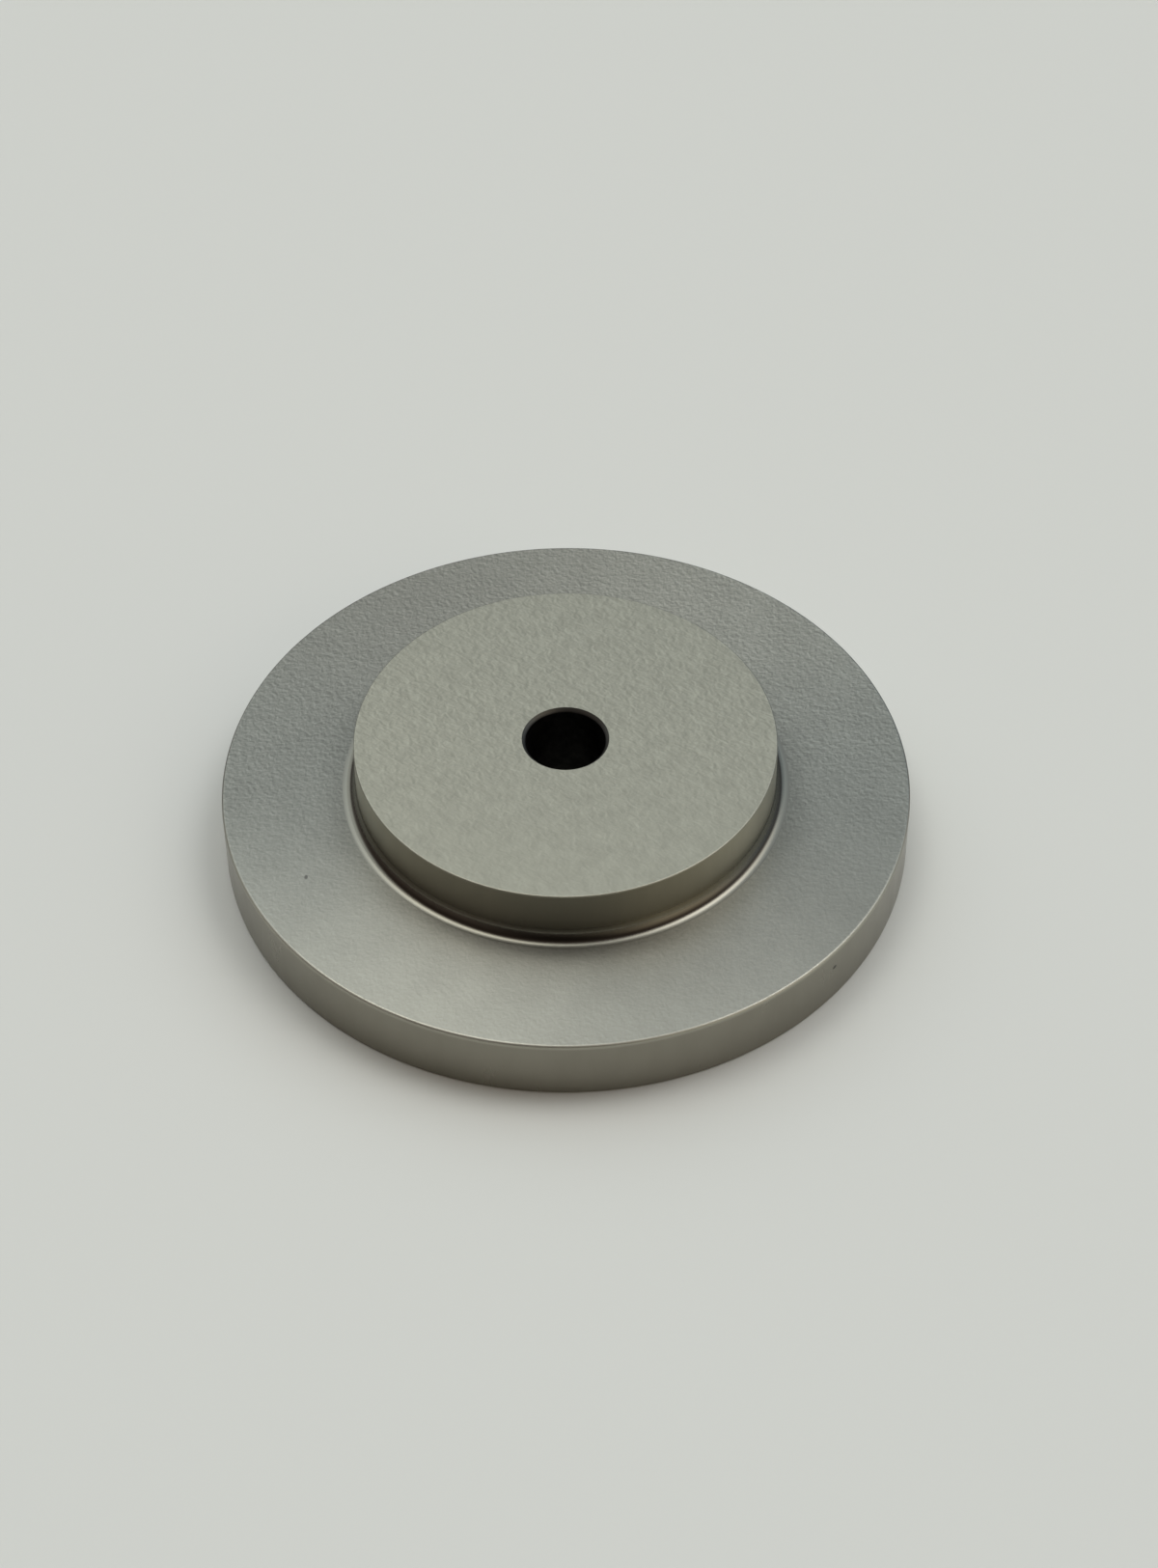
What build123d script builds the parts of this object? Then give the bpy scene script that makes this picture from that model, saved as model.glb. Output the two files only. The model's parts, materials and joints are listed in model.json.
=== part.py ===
"""Turned step disc: a round flange with a concentric boss and a bore through both.

Millimetres. The origin is the centre of the flange's back face, and +Z runs along the
turning axis, from the back face towards the boss. One solid, turned from one blank.
"""

import os

from build123d import *

# Driving dimensions
flange_diameter = 50.0
flange_thickness = 5.0
boss_diameter = 30.5
boss_height = 4.3  # from the flange's face to the boss's face
bore_diameter = 5.8

# Edge work
root_radius = 1.0  # left by the tool's nose where the boss meets the flange
rim_round = 0.2  # on both edges of the flange's rim
boss_round = 0.1  # round the boss's face
bore_chamfer = 0.25  # 45 degrees, at both mouths of the bore

os.makedirs("parts", exist_ok=True)

flange_radius = flange_diameter / 2
boss_radius = boss_diameter / 2
bore_radius = bore_diameter / 2
overall_height = flange_thickness + boss_height

with BuildPart() as turned_disc:
    # Half section, from the bore's wall out to the rim, spun about the turning axis
    with BuildSketch(Plane.XZ) as half_section:
        with BuildLine():
            Polyline(
                (bore_radius, 0),
                (flange_radius, 0),
                (flange_radius, flange_thickness),
                (boss_radius, flange_thickness),
                (boss_radius, overall_height),
                (bore_radius, overall_height),
                close=True,
            )
        make_face()
    revolve(axis=Axis.Z)

    # The circular edges, in three sets from the smallest radius to the largest
    bore_edges, boss_edges, rim_edges = (
        turned_disc.edges().filter_by(GeomType.CIRCLE).group_by(SortBy.RADIUS)
    )
    boss_root, boss_rim = boss_edges.sort_by(Axis.Z)

    fillet(boss_root, radius=root_radius)
    fillet(boss_rim, radius=boss_round)
    fillet(rim_edges, radius=rim_round)
    chamfer(bore_edges, length=bore_chamfer)

turned_disc.part.label = "turned_disc"
export_step(turned_disc.part, "parts/turned_disc.step")
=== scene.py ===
"""A turned step disc, dressed: a round flange with a concentric boss and a bore through both.

Metres. The origin is the centre of the flange's back face, and +Z runs along the turning
axis, from the back face towards the boss. The front of the disc is the side towards -Y.
"""

import json
import logging
import math
from dataclasses import dataclass
from enum import Enum
from typing import Any, Iterable

import bpy
from mathutils import Matrix, Vector


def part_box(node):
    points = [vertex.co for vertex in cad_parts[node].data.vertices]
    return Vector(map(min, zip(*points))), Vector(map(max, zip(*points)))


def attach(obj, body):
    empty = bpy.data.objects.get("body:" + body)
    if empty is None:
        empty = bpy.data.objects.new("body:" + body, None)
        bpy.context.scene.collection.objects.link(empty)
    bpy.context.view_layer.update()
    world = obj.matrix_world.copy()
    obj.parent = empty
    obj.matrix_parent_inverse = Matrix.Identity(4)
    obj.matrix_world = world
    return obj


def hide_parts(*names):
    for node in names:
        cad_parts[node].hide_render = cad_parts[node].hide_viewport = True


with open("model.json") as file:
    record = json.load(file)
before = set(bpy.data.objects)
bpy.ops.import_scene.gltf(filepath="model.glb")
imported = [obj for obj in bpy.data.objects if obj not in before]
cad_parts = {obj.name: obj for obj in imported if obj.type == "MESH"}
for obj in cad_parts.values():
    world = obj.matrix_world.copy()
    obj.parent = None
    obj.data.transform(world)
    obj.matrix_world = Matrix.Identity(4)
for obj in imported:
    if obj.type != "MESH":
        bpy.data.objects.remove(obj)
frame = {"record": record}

MM = 0.001
NODE = "turned_disc"
BODY = "root"
# The value that noise wavers about, a quarter turn as the shader counts it, and the factors
# that take the height out of a vector.
NOISE_MIDDLE = 0.5
QUARTER_TURN = 0.25
LEVEL = (1, 1, 0)

Colour = tuple[float, float, float]
Span = tuple[float, float]
Triple = tuple[float, float, float]
Socket = bpy.types.NodeSocket

log = logging.getLogger("step_disc")


class Skin(Enum):
    """The finishes on the disc, by the name of each one's material."""

    SHOULDER = "blasted_shoulder"
    BOSS = "blasted_boss_face"
    WALL = "turned_wall"
    RIM = "turned_rim"
    ROOT = "stained_root"
    BORE = "drilled_bore"

    @property
    def label(self) -> str:
        """The name of the lathe's input for it."""
        return f"{self.name.title()} Skin"


class Ease(Enum):
    """How a value goes from one end of a range to the other, by Map Range's name for it."""

    STRAIGHT = "LINEAR"
    SOFT = "SMOOTHSTEP"


@dataclass(frozen=True)
class Grain:
    """How one kind of noise is made up.

    Attributes:
        detail: how many finer layers lie on top.
        roughness: how strong those layers are.
        warp: how far the noise is pulled about.
        span: the values that it mostly stays between.
    """

    detail: float = 2.0
    roughness: float = 0.5
    warp: float = 0.0
    span: Span = (0.3, 0.7)


class NodeBench:
    """Adds nodes to one tree and joins them up."""

    NUMBERS = ("LENGTH", "DOT_PRODUCT")

    def __init__(self, tree: bpy.types.NodeTree) -> None:
        """Keeps the tree that the nodes go in.

        Args:
            tree: the node tree to build in.
        """
        self.tree = tree

    def add(self, kind: str, inputs: dict[Any, Any] | None = None,
            **settings: Any) -> bpy.types.Node:
        """Adds a node, gives it its settings and feeds its inputs.

        Args:
            kind: the node's type name.
            inputs: input name or number to a socket to link from, or a plain value.
            settings: the node's own properties.

        Returns:
            The new node.
        """
        node = self.tree.nodes.new(kind)
        for name, value in settings.items():
            setattr(node, name, value)
        for key, value in (inputs or {}).items():
            self.feed(node.inputs[key], value)
        return node

    def feed(self, target: Socket, value: Any) -> None:
        """Links a socket into another, or writes a plain value on it.

        Args:
            target: the input socket.
            value: a socket to link from, or a value.
        """
        if isinstance(value, Socket):
            self.tree.links.new(value, target)
        else:
            target.default_value = value

    def maths(self, operation: str, *values: Any) -> Socket:
        """A Math node's result.

        Args:
            operation: the node's operation.
            values: its inputs in order, sockets or numbers.

        Returns:
            The output socket.
        """
        return self.add("ShaderNodeMath", dict(enumerate(values)), operation=operation).outputs[0]

    def vector(self, operation: str, *values: Any) -> Socket:
        """A Vector Math node's result.

        Args:
            operation: the node's operation.
            values: its inputs in order, sockets or vectors.

        Returns:
            The output socket, a number for a length or a dot product and a vector otherwise.
        """
        node = self.add("ShaderNodeVectorMath", dict(enumerate(values)), operation=operation)
        return node.outputs["Value" if operation in self.NUMBERS else "Vector"]

    def part(self, vector: Socket, axis: str) -> Socket:
        """One part of a vector, by its axis."""
        return self.add("ShaderNodeSeparateXYZ", {0: vector}).outputs[axis]

    def from_axis(self, place: Socket) -> Socket:
        """A place's distance from the turning axis, in metres."""
        return self.vector("LENGTH", self.vector("MULTIPLY", place, LEVEL))


class ShaderBench(NodeBench):
    """The node work that the finishes and the light share."""

    def spread(self, value: Socket, low: float, high: float, to_low: float = 0.0,
               to_high: float = 1.0, ease: Ease = Ease.STRAIGHT) -> Socket:
        """Maps a value from one range to another, and holds it there past the ends.

        Args:
            value: the socket to map.
            low: the value that gives to_low.
            high: the value that gives to_high.
            to_low: the result at low.
            to_high: the result at high.
            ease: how it goes from one to the other.

        Returns:
            The mapped value's socket.
        """
        node = self.add("ShaderNodeMapRange", {
            "Value": value, "From Min": low, "From Max": high, "To Min": to_low, "To Max": to_high,
        }, interpolation_type=ease.value)
        return node.outputs["Result"]

    def noise(self, place: Socket, feature: float, grain: Grain) -> Socket:
        """Soft noise with features of about one size.

        Args:
            place: the coordinates to read.
            feature: the size of a feature, in metres.
            grain: how the noise is made up.

        Returns:
            A value near 0.5, between 0 and 1.
        """
        node = self.add("ShaderNodeTexNoise", {
            "Vector": place, "Scale": 1 / feature, "Detail": grain.detail,
            "Roughness": grain.roughness, "Distortion": grain.warp,
        })
        return node.outputs["Fac"]

    def lines(self, value: Socket, pitch: float) -> Socket:
        """Uneven lines that follow a rising value.

        Args:
            value: the value that they lie across, in metres.
            pitch: about how far apart they are.

        Returns:
            A value near 0.5, between 0 and 1.
        """
        node = self.add("ShaderNodeTexNoise", {
            "W": self.maths("DIVIDE", value, pitch), "Scale": 1.0, "Detail": 1.0,
        }, noise_dimensions="1D")
        return node.outputs["Fac"]

    def blend(self, amount: Socket, first: Any, second: Any) -> Socket:
        """A colour between two others.

        Args:
            amount: 0 gives the first colour and 1 the second.
            first: the colour at 0, or its socket.
            second: the colour at 1, or its socket.

        Returns:
            The colour's socket.
        """
        ends = [c if isinstance(c, Socket) else (*c, 1) for c in (first, second)]
        node = self.add("ShaderNodeMix", {0: amount, 6: ends[0], 7: ends[1]},
                        data_type="RGBA", clamp_factor=True)
        return node.outputs[2]

    def scaled(self, colour: Socket, amount: Socket) -> Socket:
        """A colour made darker or brighter.

        Args:
            colour: the colour's socket.
            amount: what it is multiplied by.

        Returns:
            The new colour's socket.
        """
        node = self.add("ShaderNodeVectorMath", {0: colour, "Scale": amount}, operation="SCALE")
        return node.outputs["Vector"]


class MetalBench(ShaderBench):
    """The node work on one uncoated metal's material.

    Attributes:
        material: the material.
        shader: its shader node.
        place: its object coordinates.
    """

    def __init__(self, name: str) -> None:
        """Starts the material.

        Args:
            name: the material's name.
        """
        self.material = bpy.data.materials.new(name)
        self.material.use_nodes = True
        super().__init__(self.material.node_tree)
        self.shader = self.tree.nodes["Principled BSDF"]
        self.shader.inputs["Metallic"].default_value = 1.0
        self.place = self.add("ShaderNodeTexCoord").outputs["Object"]

    def relief(self, height: Socket, depth: float, below: Socket | None = None) -> Socket:
        """A bump, laid over another where there is one.

        Args:
            height: the relief, from 0 to 1.
            depth: how deep it is, in metres.
            below: the normal that it is laid over.

        Returns:
            The new normal's socket.
        """
        node = self.add("ShaderNodeBump", {"Strength": 1.0, "Distance": depth, "Height": height})
        if below is not None:
            self.feed(node.inputs["Normal"], below)
        return node.outputs[0]

    def finish(self, colour: Socket, roughness: Any, normal: Socket) -> bpy.types.Material:
        """Feeds the shader.

        Args:
            colour: the metal's colour.
            roughness: its roughness, a socket or a number.
            normal: its normal.

        Returns:
            The finished material.
        """
        self.feed(self.shader.inputs["Base Color"], colour)
        self.feed(self.shader.inputs["Roughness"], roughness)
        self.feed(self.shader.inputs["Normal"], normal)
        return self.material


@dataclass(frozen=True)
class Mark:
    """A small mark on the surface.

    Attributes:
        place: where its middle lies, in metres.
        size: how far it reaches along X, Y and Z.
        colour: its colour.
        core: the share of its size that has the whole colour, before it fades.
    """

    place: Triple
    size: Triple
    colour: Colour
    core: float = 0.5

    def over(self, bench: MetalBench, below: Socket) -> Socket:
        """Lays the mark over a colour.

        Args:
            bench: the bench to work on.
            below: the colour under it.

        Returns:
            The new colour's socket.
        """
        offset = bench.vector("SUBTRACT", bench.place, self.place)
        away = bench.vector("LENGTH", bench.vector("DIVIDE", offset, self.size))
        return bench.blend(bench.spread(away, self.core, 1, 1, 0, Ease.SOFT), below, self.colour)


@dataclass(frozen=True)
class BlastedFinish:
    """Metal after bead blasting: a fine crinkled grain over faint facing marks.

    Attributes:
        name: the material's name.
        colour: the metal's middle colour.
        mottle: how far the grain, clouding and painted relief shade take each channel from it, as
            a share.
        cloudy: the clouding's part in that, up to tone_limit.
        tone_limit: the tone at which the mottle is whole, to either side.
        shade_from: how far off a dent's tone is read from, for painted shade on one side of each.
        roughness: the middle of the roughness.
        roughness_shift: how far the grit takes the roughness to either side.
        dent: the size of the dents.
        dent_depth: how deep they are.
        dent_grain: how they are made up.
        fold: the size of the crinkles between them, as a multiple of theirs.
        fold_depth: how deep the crinkles are.
        fold_grain: how they are made up.
        fold_height: the height past which a crinkle's tone doesn't change.
        fold_shade: how far the crinkles take the tone to either side.
        grit: the size of the finest grain.
        grit_depth: how deep it is.
        grit_grain: how it is made up.
        cloud: the size of the slow clouding.
        cloud_grain: how it is made up.
        lean: which way the grain runs, in degrees from +X towards +Y.
        stretch: how much longer the grain is that way.
        worn: the share of the grain that is left at the front.
        worn_span: the places along Y where the wear is whole and where it ends.
        ring_pitch: the spacing of the facing marks.
        ring_depth: how deep they are.
        lay: how far the facing marks stretch a highlight across them, from 0 to 1.
        corner: the radius of the boss's foot, beside which painted shade darkens the metal, or 0
            for none.
        corner_shade: how much darker the painted shade makes the metal there, as a share.
        corner_reach: how far from the corner the painted shade ends.
        bare: how much brighter one side is for the painted highlight, as a share.
        bare_side: which way that side lies, in degrees from +X towards +Y.
        bare_span: how far that way the painted highlight starts, and where it is whole.
        marks: small marks on the surface.
    """

    name: str = Skin.BOSS.value
    colour: Colour = (0.317, 0.306, 0.247)
    mottle: float = 0.18
    cloudy: float = 0.075
    tone_limit: float = 0.25
    shade_from: Triple = (0.06 * MM, 0.14 * MM, 0.0)
    roughness: float = 0.40
    roughness_shift: float = 0.05
    dent: float = 0.42 * MM
    dent_depth: float = 0.010 * MM
    dent_grain: Grain = Grain(2.0, 0.55, 0.6)
    fold: float = 1.6
    fold_depth: float = 0.006 * MM
    fold_grain: Grain = Grain(2.0, 0.6, 1.2)
    fold_height: float = 0.2
    fold_shade: float = 0.06
    grit: float = 0.16 * MM
    grit_depth: float = 0.004 * MM
    grit_grain: Grain = Grain(1.0, span=(0.25, 0.75))
    cloud: float = 1.3 * MM
    cloud_grain: Grain = Grain(2.0, 0.6)
    lean: float = -45.0
    stretch: float = 1.4
    worn: float = 0.38
    worn_span: Span = (-16 * MM, 6 * MM)
    ring_pitch: float = 0.45 * MM
    ring_depth: float = 0.0010 * MM
    lay: float = 0.0
    corner: float = 0.0
    corner_shade: float = 0.12
    corner_reach: float = 2.2 * MM
    bare: float = 0.0
    bare_side: float = -105.0
    bare_span: Span = (6 * MM, 22 * MM)
    marks: tuple[Mark, ...] = ()

    def build(self) -> bpy.types.Material:
        """Makes the material.

        Returns:
            The finished material.
        """
        bench = MetalBench(self.name)
        radius = bench.from_axis(bench.place)
        run = bench.add("ShaderNodeMapping", {
            "Vector": bench.place, "Rotation": (0, 0, math.radians(self.lean)),
            "Scale": (self.stretch, 1, 1),
        }, vector_type="TEXTURE").outputs[0]
        dents = bench.noise(run, self.dent, self.dent_grain)
        crinkle = bench.noise(run, self.dent * self.fold, self.fold_grain)
        folds = bench.maths("ABSOLUTE", bench.maths("SUBTRACT", crinkle, NOISE_MIDDLE))
        grit = bench.noise(bench.place, self.grit, self.grit_grain)
        left = bench.spread(bench.part(bench.place, "Y"), *self.worn_span, self.worn, 1, Ease.SOFT)

        # Painted shade and highlight on the dents' sides: their tone less their tone a little way
        # off.
        aside = bench.noise(bench.vector("ADD", run, self.shade_from), self.dent, self.dent_grain)
        fold_tone = bench.spread(folds, 0, self.fold_height, -self.fold_shade, self.fold_shade)
        grain_and_relief_shade = bench.maths("ADD", bench.maths("SUBTRACT", dents, aside), fold_tone)
        tone = bench.maths("ADD", self.clouding(bench), bench.maths("MULTIPLY", grain_and_relief_shade, left))

        rough = bench.spread(grit, *self.grit_grain.span, self.roughness - self.roughness_shift,
                             self.roughness + self.roughness_shift)

        relief = bench.relief(bench.maths("MULTIPLY", dents, left), self.dent_depth)
        relief = bench.relief(bench.maths("MULTIPLY", folds, left), self.fold_depth, relief)
        relief = bench.relief(grit, self.grit_depth, relief)
        relief = bench.relief(bench.lines(radius, self.ring_pitch), self.ring_depth, relief)
        if self.lay:
            self.brush(bench)
        return bench.finish(self.tinted(bench, tone, radius), rough, relief)

    def clouding(self, bench: MetalBench) -> Socket:
        """The slow clouding's tone."""
        cloud = bench.noise(bench.place, self.cloud, self.cloud_grain)
        return bench.spread(cloud, *self.cloud_grain.span, -self.cloudy, self.cloudy)

    def tinted(self, bench: MetalBench, tone: Socket, radius: Socket) -> Socket:
        """The metal's colour, with its painted corner shade, its painted highlight and its marks.

        Args:
            bench: the bench to work on.
            tone: the tone of the grain, the painted relief shade and the clouding together.
            radius: the distance from the turning axis.

        Returns:
            The colour's socket.
        """
        dark, light = (tuple(c * share for c in self.colour)
                       for share in (1 - self.mottle, 1 + self.mottle))
        colour = bench.blend(bench.spread(tone, -self.tone_limit, self.tone_limit), dark, light)
        # Painted shade on the metal beside the boss's foot.
        if self.corner:
            colour = bench.scaled(colour, bench.spread(
                radius, self.corner, self.corner + self.corner_reach, 1 - self.corner_shade, 1,
                Ease.SOFT))
        # A painted highlight on the side towards the front.
        if self.bare:
            way = math.radians(self.bare_side)
            along = bench.vector("DOT_PRODUCT", bench.place, (math.cos(way), math.sin(way), 0))
            colour = bench.scaled(colour, bench.spread(
                along, *self.bare_span, 1, 1 + self.bare, Ease.SOFT))
        for mark in self.marks:
            colour = mark.over(bench, colour)
        return colour

    def brush(self, bench: MetalBench) -> None:
        """Stretches the highlights across the facing marks.

        Args:
            bench: the bench to work on.
        """
        bench.shader.inputs["Anisotropic"].default_value = self.lay
        bench.shader.inputs["Anisotropic Rotation"].default_value = QUARTER_TURN
        lay = bench.add("ShaderNodeTangent", direction_type="RADIAL", axis="Z").outputs[0]
        bench.feed(bench.shader.inputs["Tangent"], lay)


@dataclass(frozen=True)
class TurnedFinish:
    """A turned wall: smooth, with faint feed lines round it and soft upright clouding.

    Attributes:
        name: the material's name.
        foot: the height where the wall starts.
        head: the height where it ends.
        foot_colour: the metal's colour at the foot.
        head_colour: the metal's colour at the head.
        cloud_shade: how much the clouding darkens the metal, as a share.
        roughness: the roughness of the clean metal.
        dull: the roughness where the clouding is strongest.
        feed: the spacing of the lines that the tool leaves.
        feed_depth: how deep they are.
        cloud: the clouding's size round the wall.
        cloud_squeeze: that size as a share of the clouding's size up the wall.
        cloud_grain: how the clouding is made up.
        edge: how far down from the head the rubbed edge band reaches, or 0 for a clean edge.
        edge_front: the band's colour at the front, painted for the light that its round takes
            there.
        edge_back: its colour behind, a painted shade.
        edge_span: the places along Y where the one is whole and where the other is.
        edge_roughness: the worn edge's roughness.
        edge_onset: how worn the edge is where that roughness is whole, from 0 to 1.
        marks: small marks on the surface.
    """

    name: str
    foot: float
    head: float
    foot_colour: Colour
    head_colour: Colour
    cloud_shade: float = 0.06
    roughness: float = 0.27
    dull: float = 0.32
    feed: float = 0.11 * MM
    feed_depth: float = 0.0006 * MM
    cloud: float = 1.6 * MM
    cloud_squeeze: float = 0.25
    cloud_grain: Grain = Grain(3.0, 0.55)
    edge: float = 0.0
    edge_front: Colour = (0.50, 0.485, 0.415)
    edge_back: Colour = (0.13, 0.126, 0.112)
    edge_span: Span = (-12 * MM, 2 * MM)
    edge_roughness: float = 0.5
    edge_onset: float = 0.5
    marks: tuple[Mark, ...] = ()

    def build(self) -> bpy.types.Material:
        """Makes the material.

        Returns:
            The finished material.
        """
        bench = MetalBench(self.name)
        height = bench.part(bench.place, "Z")
        upright = bench.add("ShaderNodeMapping", {
            "Vector": bench.place, "Scale": (1, 1, self.cloud_squeeze),
        }).outputs[0]
        cloud = bench.noise(upright, self.cloud, self.cloud_grain)
        amount = bench.spread(cloud, *self.cloud_grain.span)
        climb = bench.spread(height, self.foot, self.head)
        tints = (self.foot_colour, self.head_colour)
        shaded = [tuple(c * (1 - self.cloud_shade) for c in tint) for tint in tints]
        colour = bench.blend(amount, bench.blend(climb, *tints), bench.blend(climb, *shaded))
        rough = bench.spread(amount, 0, 1, self.roughness, self.dull)
        if self.edge:
            # Edge band: rubbed rougher, painted highlight in front, painted shade behind.
            worn = bench.spread(height, self.head - self.edge, self.head)
            back = bench.spread(bench.part(bench.place, "Y"), *self.edge_span)
            colour = bench.blend(worn, colour, bench.blend(back, self.edge_front, self.edge_back))
            rubbed = bench.spread(worn, 0, self.edge_onset, 0, self.edge_roughness)
            rough = bench.maths("MAXIMUM", rough, rubbed)
        for mark in self.marks:
            colour = mark.over(bench, colour)
        relief = bench.relief(bench.lines(height, self.feed), self.feed_depth)
        return bench.finish(colour, rough, relief)


@dataclass(frozen=True)
class FilletFinish:
    """The round at the boss's foot: smooth from the tool's nose, with painted shade in the corner.

    Attributes:
        wall_radius: the radius of the wall that it starts from.
        floor_height: the height of the shoulder that it ends on.
        round_radius: its own radius.
        wall: the wall's colour.
        stained: the colour of the painted shade in the corner.
        rubbed: the colour of the strip past the painted shade, which the tool burnished.
        clean: the colour where the shoulder begins.
        shaded: that colour at the side towards +X, darkened there as painted shade.
        shaded_side: how far towards +X the painted shade starts and where it is whole.
        wall_span: how far up the round the painted shade starts to clear and where the wall's
        colour is whole, as shares of the round.
        stain_edge: how far out the painted shade starts to fade and where it ends, as shares too.
        stain_drift: how far those two shift outwards at the front, and at the axis and behind.
        shoulder_span: how far out the shoulder's look starts and where it is whole.
        bright: the roughness of the smooth inside.
        matt: the roughness where the shoulder begins.
        grain: the size of the fine grain.
        grain_depth: how deep it is.
        name: the material's name.
    """

    wall_radius: float
    floor_height: float
    round_radius: float
    wall: Colour
    stained: Colour = (0.066, 0.056, 0.044)
    rubbed: Colour = (0.215, 0.204, 0.168)
    clean: Colour = (0.235, 0.229, 0.197)
    shaded: Colour = (0.182, 0.177, 0.154)
    shaded_side: Span = (6 * MM, 13 * MM)
    wall_span: Span = (0.22, 0.85)
    stain_edge: Span = (0.42, 0.58)
    stain_drift: Span = (0.04, -0.06)
    shoulder_span: Span = (0.62, 1.0)
    bright: float = 0.27
    matt: float = 0.36
    grain: float = 0.3 * MM
    grain_depth: float = 0.002 * MM
    name: str = Skin.ROOT.value

    def build(self) -> bpy.types.Material:
        """Makes the material.

        Returns:
            The finished material.
        """
        bench = MetalBench(self.name)
        place = bench.place
        beyond = bench.maths("SUBTRACT", bench.from_axis(place), self.wall_radius)
        out = bench.maths("DIVIDE", beyond, self.round_radius)
        above = bench.maths("SUBTRACT", bench.part(place, "Z"), self.floor_height)
        up = bench.maths("DIVIDE", above, self.round_radius)

        # Painted shade in the corner, its edge shifted along Y.
        drift = bench.spread(bench.part(place, "Y"), -self.wall_radius, 0, *self.stain_drift)
        clear = bench.spread(bench.maths("SUBTRACT", out, drift), *self.stain_edge, ease=Ease.SOFT)
        corner = bench.blend(bench.spread(up, *self.wall_span), self.stained, self.wall)
        strip = bench.blend(clear, corner, self.rubbed)
        # dull is the mask of the painted shade on the side towards +X.
        dull = bench.spread(bench.part(place, "X"), *self.shaded_side)
        shoulder = bench.spread(out, *self.shoulder_span, ease=Ease.SOFT)
        colour = bench.blend(shoulder, strip, bench.blend(dull, self.clean, self.shaded))
        rough = bench.spread(shoulder, 0, 1, self.bright, self.matt)
        grain = bench.noise(place, self.grain, Grain())
        return bench.finish(colour, rough, bench.relief(grain, self.grain_depth))


@dataclass(frozen=True)
class DrilledFinish:
    """The bore's wall: left from the drill, painted dark for the shade in the hole, paler at each
    chamfer.

    Attributes:
        radius: the bore's radius.
        mouth: the chamfers' colour, paler than the bore's painted shade.
        lip: how far past the bore's wall a chamfer reaches that colour.
        name: the material's name.
        colour: the bore's colour, darkened as painted shade.
        stain: the colour of darker blotches in that painted shade.
        roughness: its roughness.
        cloud: the size of the staining.
        cloud_grain: how the staining is made up.
        feed: the spacing of the drill's marks.
        feed_depth: how deep they are.
    """

    radius: float
    mouth: Colour = (0.105, 0.100, 0.088)
    lip: float = 0.12 * MM
    name: str = Skin.BORE.value
    colour: Colour = (0.045, 0.043, 0.040)
    stain: Colour = (0.022, 0.020, 0.019)
    roughness: float = 0.45
    cloud: float = 0.8 * MM
    cloud_grain: Grain = Grain(3.0, 0.6, span=(0.35, 0.65))
    feed: float = 0.15 * MM
    feed_depth: float = 0.003 * MM

    def build(self) -> bpy.types.Material:
        """Makes the material.

        Returns:
            The finished material.
        """
        bench = MetalBench(self.name)
        cloud = bench.noise(bench.place, self.cloud, self.cloud_grain)
        # Painted shade for the deep hole, blotched darker at random.
        deep = bench.blend(bench.spread(cloud, *self.cloud_grain.span), self.colour, self.stain)
        radius = bench.from_axis(bench.place)
        chamfer = bench.spread(radius, self.radius, self.radius + self.lip)
        lines = bench.lines(bench.part(bench.place, "Z"), self.feed)
        return bench.finish(bench.blend(chamfer, deep, self.mouth), self.roughness,
                            bench.relief(lines, self.feed_depth))


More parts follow.
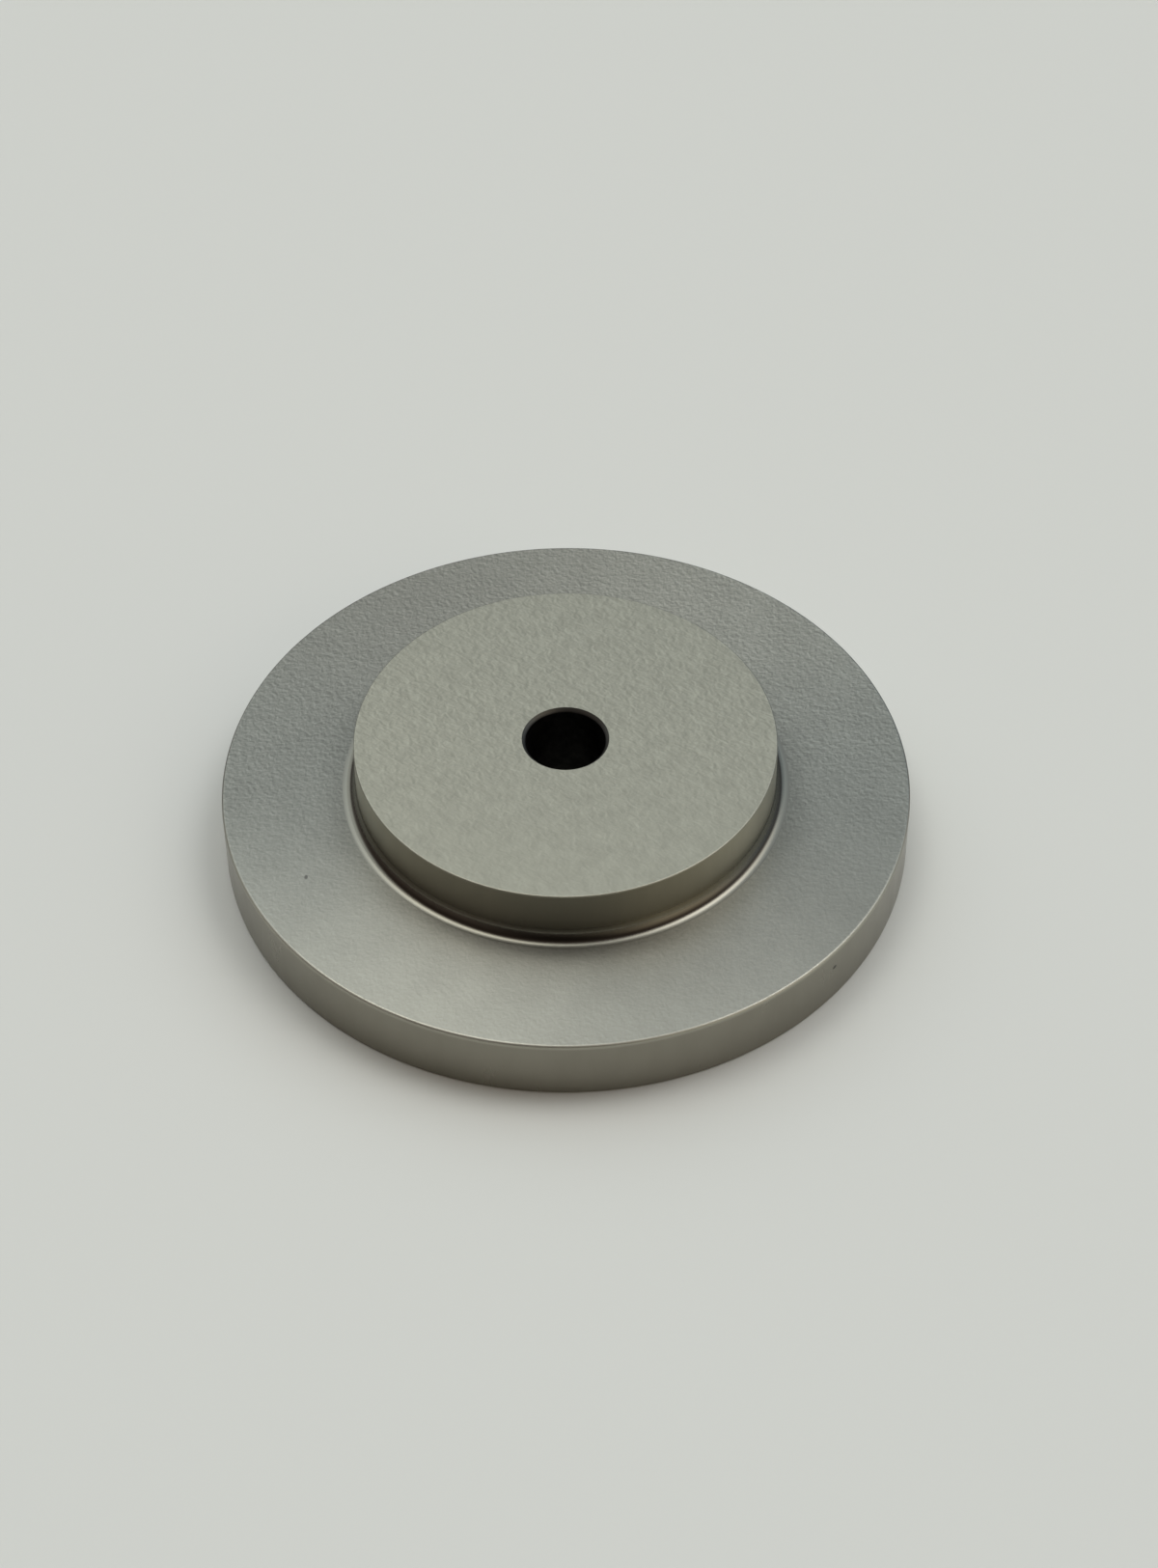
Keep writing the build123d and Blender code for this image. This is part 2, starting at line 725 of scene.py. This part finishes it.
class Lathe:
    """A Geometry Nodes tree that spins the disc's half section round the axis."""

    SIZES = ("Flange Radius", "Flange Thickness", "Boss Radius", "Overall Height", "Bore Radius",
             "Rim Round", "Root Radius", "Boss Round", "Bore Chamfer", "Margin")
    COUNTS = ("Turns", "Arc Steps")
    # An edge that bends by more than this stays crisp, and a face whose normal keeps less than
    # this of its length along the axis counts as a wall.
    CREASE = math.radians(30)
    FACE_LEAN = 0.9

    def __init__(self) -> None:
        """Builds the tree."""
        self.tree = bpy.data.node_groups.new("lathe", "GeometryNodeTree")
        self.bench = NodeBench(self.tree)
        self.socket_ids: dict[str, str] = {}
        self.declare()
        self.given = self.bench.add("NodeGroupInput").outputs
        solid = self.spin(self.profile())
        self.bench.add("NodeGroupOutput", {0: self.skin(solid)})

    def declare(self) -> None:
        """Names the tree's inputs and its output."""
        face = self.tree.interface
        kinds = [(name, "NodeSocketFloat") for name in self.SIZES]
        kinds += [(name, "NodeSocketInt") for name in self.COUNTS]
        kinds += [(skin.label, "NodeSocketMaterial") for skin in Skin]
        for name, kind in kinds:
            item = face.new_socket(name=name, in_out="INPUT", socket_type=kind)
            self.socket_ids[name] = item.identifier
        face.new_socket(name="Geometry", in_out="OUTPUT", socket_type="NodeSocketGeometry")

    def sums(self, start: str, *signed: str) -> Socket:
        """A size with others added to it or taken from it.

        Args:
            start: the first input's name.
            signed: other inputs' names, each after a + or a -.

        Returns:
            The sum's socket.
        """
        total = self.given[start]
        for term in signed:
            operation = "ADD" if term[0] == "+" else "SUBTRACT"
            total = self.bench.maths(operation, total, self.given[term[1:]])
        return total

    def stations(self) -> list[tuple[Any, Any, str | None]]:
        """The half section's corners in order.

        The plain ones keep a flat or a wall true next to a round.

        Returns:
            Each corner's radius, its height and the name of its round.
        """
        sums, given = self.sums, self.given
        in_rim = sums("Flange Radius", "-Rim Round", "-Margin")
        mouth = sums("Bore Radius", "+Bore Chamfer")
        rim, shoulder = given["Flange Radius"], given["Flange Thickness"]
        boss, top, bore = given["Boss Radius"], given["Overall Height"], given["Bore Radius"]
        return [
            (mouth, 0.0, None),
            (in_rim, 0.0, None),
            (rim, 0.0, "Rim Round"),
            (rim, sums("Rim Round", "+Margin"), None),
            (rim, sums("Flange Thickness", "-Rim Round", "-Margin"), None),
            (rim, shoulder, "Rim Round"),
            (in_rim, shoulder, None),
            (sums("Boss Radius", "+Root Radius", "+Margin"), shoulder, None),
            (boss, shoulder, "Root Radius"),
            (boss, sums("Flange Thickness", "+Root Radius", "+Margin"), None),
            (boss, sums("Overall Height", "-Boss Round", "-Margin"), None),
            (boss, top, "Boss Round"),
            (sums("Boss Radius", "-Boss Round", "-Margin"), top, None),
            (mouth, top, None),
            (bore, sums("Overall Height", "-Bore Chamfer"), None),
            (bore, given["Bore Chamfer"], None),
        ]

    def switch(self, kind: str, values: list[Any]) -> Socket:
        """Picks a value by a point's number.

        Args:
            kind: the data type of the values.
            values: a socket for each point, or None for the type's own zero.

        Returns:
            The picked value's socket.
        """
        node = self.bench.add("GeometryNodeIndexSwitch", data_type=kind)
        while len(node.index_switch_items) < len(values):
            node.index_switch_items.new()
        self.bench.feed(node.inputs["Index"], self.bench.add("GeometryNodeInputIndex").outputs[0])
        for number, value in enumerate(values):
            if value is not None:
                self.bench.feed(node.inputs[str(number)], value)
        return node.outputs[0]

    def profile(self) -> Socket:
        """Draws the half section, measured outwards from the bore's wall.

        Returns:
            The closed curve's socket, with its rounds.
        """
        add, maths = self.bench.add, self.bench.maths
        stations = self.stations()
        places = [
            add("ShaderNodeCombineXYZ", {
                "X": maths("SUBTRACT", radius, self.given["Bore Radius"]),
                "Y": maths("MULTIPLY", height, -1.0),
            }).outputs[0] for radius, height, _ in stations
        ]
        rounds = [self.given[name] if name else None for _, _, name in stations]
        line = add("GeometryNodeMeshLine", {"Count": len(stations)})
        moved = add("GeometryNodeSetPosition", {
            "Geometry": line.outputs[0], "Position": self.switch("VECTOR", places),
        })
        curve = add("GeometryNodeMeshToCurve", {0: moved.outputs[0]})
        closed = add("GeometryNodeSetSplineCyclic", {"Geometry": curve.outputs[0], "Cyclic": True})
        return add("GeometryNodeFilletCurve", {
            "Curve": closed.outputs[0], "Count": self.given["Arc Steps"],
            "Radius": self.switch("FLOAT", rounds),
        }, mode="POLY").outputs[0]

    def spin(self, profile: Socket) -> Socket:
        """Sweeps the half section round a circle of the bore's radius.

        Args:
            profile: the closed half section.

        Returns:
            The solid's socket.
        """
        add = self.bench.add
        circle = add("GeometryNodeCurvePrimitiveCircle", {
            "Resolution": self.given["Turns"], "Radius": self.given["Bore Radius"],
        })
        upright = add("GeometryNodeSetCurveNormal", {"Curve": circle.outputs[0]}, mode="Z_UP")
        swept = add("GeometryNodeCurveToMesh", {
            "Curve": upright.outputs[0], "Profile Curve": profile, "Fill Caps": False,
        })
        return add("GeometryNodeFlipFaces", {0: swept.outputs[0]}).outputs[0]

    def skin(self, solid: Socket) -> Socket:
        """Smooths the rounds, keeps the chamfers crisp and sets the finishes.

        Args:
            solid: the swept solid.

        Returns:
            The finished geometry's socket.
        """
        bench, add, sums = self.bench, self.bench.add, self.sums
        smooth = add("GeometryNodeSetShadeSmooth", {"Geometry": solid, "Shade Smooth": True},
                     domain="FACE")
        angle = add("GeometryNodeInputMeshEdgeAngle").outputs["Unsigned Angle"]
        crisp = add("GeometryNodeSetShadeSmooth", {
            "Geometry": smooth.outputs[0], "Selection": self.above(angle, self.CREASE),
            "Shade Smooth": False,
        }, domain="EDGE")
        result = add("GeometryNodeRealizeInstances", {0: crisp.outputs[0]}).outputs[0]

        place = add("GeometryNodeInputPosition").outputs[0]
        out, height = bench.from_axis(place), bench.part(place, "Z")
        lean = bench.part(add("GeometryNodeInputNormal").outputs[0], "Z")
        root_top = sums("Flange Thickness", "+Root Radius")
        wall = self.above(self.FACE_LEAN, bench.maths("ABSOLUTE", lean))
        raised = self.above(height, sums("Flange Thickness", "-Margin"))
        on_boss = self.above(sums("Boss Radius", "+Margin"), out)
        near_boss = self.above(sums("Boss Radius", "+Root Radius"), out)
        in_root = self.both(self.both(raised, self.above(root_top, height)), near_boss)
        layers = (
            (Skin.SHOULDER, True),
            (Skin.BOSS, self.above(height, root_top)),
            (Skin.RIM, wall),
            (Skin.WALL, self.both(wall, on_boss)),
            (Skin.ROOT, in_root),
            (Skin.BORE, self.above(sums("Bore Radius", "+Bore Chamfer"), out)),
        )
        for skin, where in layers:
            result = add("GeometryNodeSetMaterial", {
                "Geometry": result, "Selection": where, "Material": self.given[skin.label],
            }).outputs[0]
        return result

    def above(self, first: Any, second: Any) -> Socket:
        """Whether the first value is greater than the second."""
        return self.bench.add("FunctionNodeCompare", {0: first, 1: second},
                              data_type="FLOAT", operation="GREATER_THAN").outputs[0]

    def both(self, first: Socket, second: Socket) -> Socket:
        """Whether two tests both hold."""
        return self.bench.add("FunctionNodeBooleanMath", {0: first, 1: second},
                              operation="AND").outputs[0]

    def turn(self, name: str, values: dict[str, Any]) -> bpy.types.Object:
        """Makes a plain mesh object from the tree.

        Args:
            name: the new object's name.
            values: a value for each named input.

        Returns:
            The object, with no modifier left on it.
        """
        piece = bpy.data.objects.new(name, bpy.data.meshes.new(f"{name}_blank"))
        bpy.context.scene.collection.objects.link(piece)
        modifier = piece.modifiers.new("lathe", "NODES")
        modifier.node_group = self.tree
        for label, value in values.items():
            modifier[self.socket_ids[label]] = value
        graph = bpy.context.evaluated_depsgraph_get()
        mesh = bpy.data.meshes.new_from_object(piece.evaluated_get(graph))
        piece.modifiers.clear()
        piece.data = mesh
        mesh.name = name
        return piece


@dataclass
class StepDisc:
    """The turned disc.

    Attributes:
        flange_radius: the flange's radius.
        flange_thickness: from the back face to the shoulder.
        boss_radius: the boss's radius.
        overall_height: from the back face to the boss's face.
        bore_radius: the bore's radius.
        root_radius: the round where the boss meets the shoulder.
        boss_round: the round on the boss's face.
        bore_chamfer: the chamfer at both mouths of the bore.
        rim_round: the rounds on the flange's rim.
        margin: how far the plain stations stand off a round.
        turns: how many facets go round.
        arc_steps: how many facets each round has.
        wall_tint: the boss wall's colour at its foot, which the root round takes up.
        rim_tint: the rim's colour, the same from edge to edge.
    """

    flange_radius: float
    flange_thickness: float
    boss_radius: float
    overall_height: float
    bore_radius: float
    root_radius: float
    boss_round: float
    bore_chamfer: float
    rim_round: float = 0.2 * MM
    margin: float = 0.03 * MM
    turns: int = 720
    arc_steps: int = 14
    wall_tint: Colour = (0.40, 0.385, 0.315)
    rim_tint: Colour = (0.287, 0.271, 0.228)

    @classmethod
    def from_frame(cls) -> "StepDisc":
        """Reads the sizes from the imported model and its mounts.

        Returns:
            The disc, sized.
        """
        mounts = {m["name"]: m for m in frame["record"]["mounts"]}
        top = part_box(NODE)[1]
        bore, spigot, shoulder = (mounts[n] for n in ("bore", "boss_spigot", "shoulder_face"))
        thickness = shoulder["pos_m"][2]
        half = spigot["dims"]["length_mm"] * MM / 2
        return cls(
            flange_radius=top.x,
            flange_thickness=thickness,
            boss_radius=spigot["dims"]["r_mm"] * MM,
            overall_height=top.z,
            bore_radius=bore["dims"]["r_mm"] * MM,
            root_radius=spigot["pos_m"][2] - half - thickness,
            boss_round=top.z - spigot["pos_m"][2] - half,
            bore_chamfer=(top.z - bore["dims"]["length_mm"] * MM) / 2,
        )

    def build(self) -> bpy.types.Object:
        """Turns the disc, dresses it and puts it in the CAD node's place.

        Returns:
            The finished piece.
        """
        finishes = (self.shoulder(), BlastedFinish(), self.rim(), self.wall(), self.root(),
                    DrilledFinish(self.bore_radius))
        skins = {Skin(finish.name).label: finish.build() for finish in finishes}
        piece = Lathe().turn("step_disc", {
            "Flange Radius": self.flange_radius,
            "Flange Thickness": self.flange_thickness,
            "Boss Radius": self.boss_radius,
            "Overall Height": self.overall_height,
            "Bore Radius": self.bore_radius,
            "Rim Round": self.rim_round,
            "Root Radius": self.root_radius,
            "Boss Round": self.boss_round,
            "Bore Chamfer": self.bore_chamfer,
            "Margin": self.margin,
            "Turns": self.turns,
            "Arc Steps": self.arc_steps,
            **skins,
        })
        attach(piece, BODY)
        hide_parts(NODE)
        return piece

    def shoulder(self) -> BlastedFinish:
        """The flange's finish: blasted over facing marks, with painted shade by the boss and a
        painted highlight.

        Returns:
            The finish, with the speck on the shoulder.
        """
        speck = Mark((-18.43 * MM, -9.37 * MM, 5.0 * MM), (0.16 * MM, 0.26 * MM, 1 * MM),
                     (0.14, 0.133, 0.118))
        return BlastedFinish(
            Skin.SHOULDER.value, colour=(0.267, 0.260, 0.223), roughness=0.35,
            dent=0.33 * MM, dent_depth=0.008 * MM, mottle=0.29, cloud=3.0 * MM, cloudy=0.035,
            lean=-15.0, stretch=1.05, worn=0.28, lay=0.65,
            corner=self.boss_radius + self.root_radius, bare=0.24, marks=(speck,),
        )

    def rim(self) -> TurnedFinish:
        """The rim's finish: turned, with a rubbed upper edge painted bright in front and dark
        behind.

        Returns:
            The finish, with the speck on the rim.
        """
        speck = Mark((18.70 * MM, -16.60 * MM, 3.30 * MM), (0.26 * MM, 0.26 * MM, 0.2 * MM),
                     (0.045, 0.04, 0.036))
        return TurnedFinish(Skin.RIM.value, 0.0, self.flange_thickness, self.rim_tint,
                            self.rim_tint, edge=0.4 * MM, marks=(speck,))

    def wall(self) -> TurnedFinish:
        """The boss wall's finish: turned, a little paler towards its head, with painted shade on
        its edge.

        Returns:
            The finish.
        """
        return TurnedFinish(
            Skin.WALL.value, self.flange_thickness + self.root_radius, self.overall_height,
            self.wall_tint, (0.44, 0.425, 0.345), roughness=0.38, dull=0.41,
            edge=0.13 * MM, edge_front=(0.34, 0.33, 0.275),
        )

    def root(self) -> FilletFinish:
        """The finish of the round at the boss's foot."""
        return FilletFinish(self.boss_radius, self.flange_thickness, self.root_radius,
                            self.wall_tint)


@dataclass(frozen=True)
class Floor:
    """The plain pale floor under the disc.

    Attributes:
        reach: half the floor's width.
        colour: its colour.
        roughness: its roughness.
        gloss: its specular level.
    """

    reach: float = 3.0
    colour: Colour = (0.702, 0.708, 0.669)
    roughness: float = 0.9
    gloss: float = 0.1

    def build(self) -> bpy.types.Object:
        """Lays the floor at the back face's height.

        Returns:
            The floor.
        """
        r = self.reach
        mesh = bpy.data.meshes.new("floor")
        mesh.from_pydata([(-r, -r, 0), (r, -r, 0), (r, r, 0), (-r, r, 0)], [], [(0, 1, 2, 3)])
        floor = bpy.data.objects.new("floor", mesh)
        bpy.context.scene.collection.objects.link(floor)
        material = bpy.data.materials.new("pale_floor")
        material.use_nodes = True
        shader = material.node_tree.nodes["Principled BSDF"]
        shader.inputs["Base Color"].default_value = (*self.colour, 1)
        shader.inputs["Roughness"].default_value = self.roughness
        shader.inputs["Specular IOR Level"].default_value = self.gloss
        mesh.materials.append(material)
        return floor


@dataclass(frozen=True)
class Patch:
    """A round patch of the sky round the disc, full at its core and fading to its edge.

    Attributes:
        bearing: which way it lies, in degrees from +X towards +Y.
        height: how high it stands, in degrees.
        core: how wide its full strength is, as a half angle in degrees.
        reach: where it ends, as a half angle in degrees.
    """

    bearing: float
    height: float
    core: float
    reach: float

    def direction(self) -> Vector:
        """The unit vector towards it."""
        a, e = math.radians(self.bearing), math.radians(self.height)
        return Vector((math.cos(a) * math.cos(e), math.sin(a) * math.cos(e), math.sin(e)))

    def strength(self, bench: ShaderBench, ray: Socket, edge: float, core: float) -> Socket:
        """Its strength along a ray.

        Args:
            bench: the bench to work on.
            ray: the ray's direction.
            edge: the value outside the patch.
            core: the value at its core.

        Returns:
            The value's socket.
        """
        near, far = (math.cos(math.radians(angle)) for angle in (self.core, self.reach))
        facing = bench.vector("DOT_PRODUCT", ray, self.direction())
        return bench.spread(facing, far, near, edge, core, Ease.SOFT)


@dataclass(frozen=True)
class LightTent:
    """The studio's light: soft lamps on a dim surround, with two dark cards at the front.

    Attributes:
        surround: the light where there is no lamp.
        lamps: each lamp's patch and its light in red, green and blue.
        cards: the cards' patches.
        card_shade: how much light a card takes away, as a share.
        dusk: the height below which the light fades, in degrees.
        dusk_shade: how much of it is gone at the horizon, as a share.
    """

    surround: Colour = (0.175, 0.143, 0.130)
    lamps: tuple[tuple[Patch, Colour], ...] = (
        # Overhead: one behind on the left, and one on the right with a dimmer one under it.
        (Patch(132, 71, 9, 23), (2.75, 2.75, 2.60)),
        (Patch(20, 64, 1, 18), (3.75, 3.73, 3.70)),
        (Patch(24, 42, 2, 17), (1.60, 1.55, 1.50)),
        # Low and wide: a warm one at the front on the right, and cool ones behind.
        (Patch(-38, 10, 18, 48), (0.74, 0.675, 0.53)),
        (Patch(135, 30, 12, 30), (0.83, 0.94, 0.99)),
        (Patch(37, 0, 26, 67), (0.26, 0.38, 0.48)),
        (Patch(85, 57, 26, 44), (0.45, 0.54, 0.60)),
    )
    cards: tuple[Patch, ...] = (Patch(-90, 46, 12, 24), Patch(-90, 10, 24, 48))
    card_shade: float = 0.70
    dusk: float = 15.0
    dusk_shade: float = 0.6

    def build(self) -> bpy.types.World:
        """Makes the world and gives it to the scene.

        Returns:
            The world.
        """
        world = bpy.data.worlds.new("light_tent")
        world.use_nodes = True
        bench = ShaderBench(world.node_tree)
        ray = bench.add("ShaderNodeTexCoord").outputs["Generated"]
        total: Any = self.surround
        for patch, light in self.lamps:
            total = bench.vector("MULTIPLY_ADD", patch.strength(bench, ray, 0, 1), light, total)
        level = bench.spread(bench.part(ray, "Z"), 0, math.sin(math.radians(self.dusk)),
                             1 - self.dusk_shade, 1, Ease.SOFT)
        for card in self.cards:
            shade = card.strength(bench, ray, 1, 1 - self.card_shade)
            level = bench.maths("MULTIPLY", level, shade)
        background = world.node_tree.nodes["Background"]
        bench.feed(background.inputs["Color"], total)
        bench.feed(background.inputs["Strength"], level)
        bpy.context.scene.world = world
        return world


@dataclass(frozen=True)
class Viewpoint:
    """The camera.

    Attributes:
        elevation: how far it looks down, in degrees.
        distance: from the point that it looks at.
        roll: its turn about its own axis, in degrees.
        aim: the point on the floor that it looks at.
        lens: the focal length, in millimetres.
        sensor: the sensor's long side, in millimetres.
        near: how close to it things are still seen.
    """

    elevation: float = 46.51
    distance: float = 251.0 * MM
    roll: float = -0.37
    aim: Triple = (0.95 * MM, 4.29 * MM, 0.0)
    lens: float = 77.1
    sensor: float = 36.0
    near: float = 1 * MM

    def build(self) -> bpy.types.Object:
        """Places the camera and makes it the scene's own.

        Returns:
            The camera.
        """
        e, roll = math.radians(self.elevation), math.radians(self.roll)
        back = Vector((0, -math.cos(e), math.sin(e)))
        right, up = Vector((1, 0, 0)), Vector((0, math.sin(e), math.cos(e)))
        across = right * math.cos(roll) + up * math.sin(roll)
        upward = up * math.cos(roll) - right * math.sin(roll)
        data = bpy.data.cameras.new("camera")
        data.lens, data.sensor_width, data.clip_start = self.lens, self.sensor, self.near
        camera = bpy.data.objects.new("camera", data)
        place = Matrix((across, upward, back)).transposed().to_4x4()
        place.translation = Vector(self.aim) + back * self.distance
        camera.matrix_world = place
        bpy.context.scene.collection.objects.link(camera)
        bpy.context.scene.camera = camera
        return camera


def main() -> None:
    """Builds the disc and the studio."""
    logging.basicConfig(level=logging.INFO, format="%(name)s: %(message)s")
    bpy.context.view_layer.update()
    bpy.context.scene.view_settings.view_transform = "Standard"

    Viewpoint().build()
    LightTent().build()
    Floor().build()
    piece = StepDisc.from_frame().build()
    log.info("%s: %d faces, finishes %s", piece.name, len(piece.data.polygons),
             ", ".join(m.name for m in piece.data.materials))


if __name__ == "__main__":
    main()
